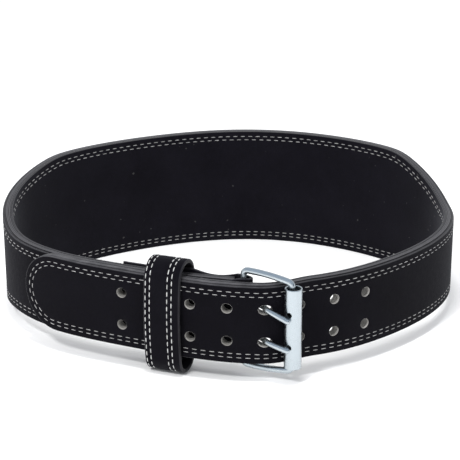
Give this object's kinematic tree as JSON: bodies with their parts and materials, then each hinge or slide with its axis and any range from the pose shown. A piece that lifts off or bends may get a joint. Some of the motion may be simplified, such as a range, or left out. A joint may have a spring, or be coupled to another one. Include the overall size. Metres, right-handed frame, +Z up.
{
  "type": "weightlifting belt",
  "caption": "Tapered leather lifting belt with a wide back, a roller buckle with paired prongs and a keeper loop, buckled and standing on its edge.",
  "frame": {"origin": "on the floor under the middle of the belt's bounding box", "axes": "+Z up, -Y the way the buckle and the wearer face, +X to the wearer's left"},
  "size_m": [0.367, 0.326, 0.1036],
  "materials": {
    "nubuck": "matt napped",
    "raw_leather": "cut and lightly burnished edge",
    "suede": "matt suede",
    "strap_leather": "matt napped",
    "zinc": "bright zinc plated"
  },
  "bodies": {
    "root": {"outer_ply": "nubuck", "core_ply": "raw_leather", "inner_ply": "suede", "buckle_tab": "strap_leather", "keeper_loop": "strap_leather", "rivet_upper": "zinc", "rivet_lower": "zinc", "buckle_frame": "zinc", "buckle_roller": "zinc", "prong_upper": "zinc", "prong_lower": "zinc"}
  },
  "joints": []
}
